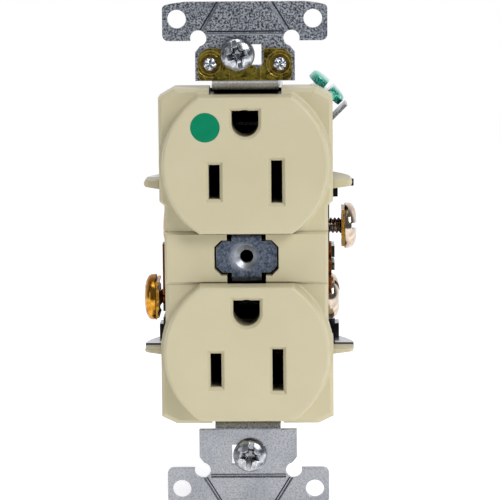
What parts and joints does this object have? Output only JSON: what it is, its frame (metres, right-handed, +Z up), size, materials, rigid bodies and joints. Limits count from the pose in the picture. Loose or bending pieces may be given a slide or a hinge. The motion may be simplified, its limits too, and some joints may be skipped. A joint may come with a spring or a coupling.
{
  "type": "duplex wall outlet",
  "caption": "Duplex wall outlet with two round faces, a wraparound steel mounting strap, side screw terminals and a self-grounding clip.",
  "frame": {"origin": "on the axis of the centre faceplate-screw hole, in the wall plane (the back of the mounting ears)", "axes": "+X to the right seen from the front, +Y back into the wall box, +Z up"},
  "size_m": [0.0447, 0.0337, 0.1048],
  "materials": {
    "ivory_nylon": "satin moulded nylon",
    "black_nylon": "glossy moulded nylon",
    "zinc_steel": "zinc plated, speckled, semi-matt",
    "brass": "bright stamped brass",
    "clip_brass": "yellow-olive passivated brass",
    "nickel": "bright nickel plate",
    "green_paint": "green lacquer over steel",
    "green_mark": "printed disc, satin",
    "fibre": "vulcanised fibre"
  },
  "bodies": {
    "housing": {"front_cover": "ivory_nylon", "back_body": "black_nylon", "mounting_strap": "zinc_steel", "centre_bridge": "zinc_steel", "grade_dot": "green_mark", "grounding_clip": "clip_brass", "clip_rivets": "zinc_steel", "hot_bus_bar": "brass", "neutral_bus_bar": "brass", "upper_ground_contact": "brass", "lower_ground_contact": "brass", "ground_rivets": "brass", "ground_bracket": "zinc_steel"},
    "hot_upper_clamp": {"hot_upper_clamp": "brass"},
    "hot_upper_screw": {"hot_upper_screw": "brass"},
    "hot_lower_clamp": {"hot_lower_clamp": "brass"},
    "hot_lower_screw": {"hot_lower_screw": "brass"},
    "neutral_upper_clamp": {"neutral_upper_clamp": "brass"},
    "neutral_upper_screw": {"neutral_upper_screw": "nickel"},
    "neutral_lower_clamp": {"neutral_lower_clamp": "brass"},
    "neutral_lower_screw": {"neutral_lower_screw": "nickel"},
    "ground_clamp": {"ground_clamp": "zinc_steel"},
    "ground_screw": {"ground_screw": "green_paint"},
    "upper_screw_retainer": {"upper_screw_retainer": "fibre"},
    "upper_mounting_screw": {"upper_mounting_screw": "nickel"},
    "lower_screw_retainer": {"lower_screw_retainer": "fibre"},
    "lower_mounting_screw": {"lower_mounting_screw": "nickel"}
  },
  "joints": [
    {"name": "hot_upper_clamp_travel", "type": "slide", "parent": "housing", "child": "hot_upper_clamp", "axis": [-1, 0, 0], "range_m": [0, 0.0055]},
    {"name": "hot_upper_screw_turn", "type": "hinge", "parent": "hot_upper_clamp", "child": "hot_upper_screw", "pos_m": [-0.01509, 0.01, 0.0049], "axis": [-1, 0, 0], "range_deg": [0, 2494.5]},
    {"name": "hot_lower_clamp_travel", "type": "slide", "parent": "housing", "child": "hot_lower_clamp", "axis": [-1, 0, 0], "range_m": [-0.0041, 0.0014]},
    {"name": "hot_lower_screw_turn", "type": "hinge", "parent": "hot_lower_clamp", "child": "hot_lower_screw", "pos_m": [-0.01919, 0.01, -0.0101], "axis": [-1, 0, 0], "range_deg": [-1859.6, 635]},
    {"name": "neutral_upper_clamp_travel", "type": "slide", "parent": "housing", "child": "neutral_upper_clamp", "axis": [1, 0, 0], "range_m": [-0.0052, 0.0003]},
    {"name": "neutral_upper_screw_turn", "type": "hinge", "parent": "neutral_upper_clamp", "child": "neutral_upper_screw", "pos_m": [0.02029, 0.01, 0.0049], "axis": [1, 0, 0], "range_deg": [-2358.5, 136.1]},
    {"name": "neutral_lower_clamp_travel", "type": "slide", "parent": "housing", "child": "neutral_lower_clamp", "axis": [1, 0, 0], "range_m": [-0.0016, 0.0039]},
    {"name": "neutral_lower_screw_turn", "type": "hinge", "parent": "neutral_lower_clamp", "child": "neutral_lower_screw", "pos_m": [0.01669, 0.01, -0.0101], "axis": [1, 0, 0], "range_deg": [-725.7, 1768.9]},
    {"name": "ground_clamp_travel", "type": "slide", "parent": "housing", "child": "ground_clamp", "axis": [0.7071, 0, 0.7071], "range_m": [0, 0.004]},
    {"name": "ground_screw_turn", "type": "hinge", "parent": "ground_clamp", "child": "ground_screw", "pos_m": [0.0153, 0.012, 0.03236], "axis": [0.7071, 0, 0.7071], "range_deg": [0, 1814.2]},
    {"name": "upper_mounting_shift", "type": "slide", "parent": "housing", "child": "upper_screw_retainer", "axis": [1, 0, 0], "range_m": [-0.00033, 0.00333]},
    {"name": "upper_mounting_screw_turn", "type": "hinge", "parent": "upper_screw_retainer", "child": "upper_mounting_screw", "pos_m": [-0.0015, 0, 0.04167], "axis": [0, -1, 0], "continuous": true},
    {"name": "lower_mounting_shift", "type": "slide", "parent": "housing", "child": "lower_screw_retainer", "axis": [1, 0, 0], "range_m": [-0.00223, 0.00143]},
    {"name": "lower_mounting_screw_turn", "type": "hinge", "parent": "lower_screw_retainer", "child": "lower_mounting_screw", "pos_m": [0.0004, 0, -0.04167], "axis": [0, -1, 0], "continuous": true}
  ],
  "couplings": [
    {"joint": "hot_upper_screw_turn", "follows": "hot_upper_clamp_travel", "rad_per_m": 7915.8},
    {"joint": "hot_lower_screw_turn", "follows": "hot_lower_clamp_travel", "rad_per_m": 7915.8},
    {"joint": "neutral_upper_screw_turn", "follows": "neutral_upper_clamp_travel", "rad_per_m": 7915.8},
    {"joint": "neutral_lower_screw_turn", "follows": "neutral_lower_clamp_travel", "rad_per_m": 7915.8},
    {"joint": "ground_screw_turn", "follows": "ground_clamp_travel", "rad_per_m": 7915.8}
  ]
}
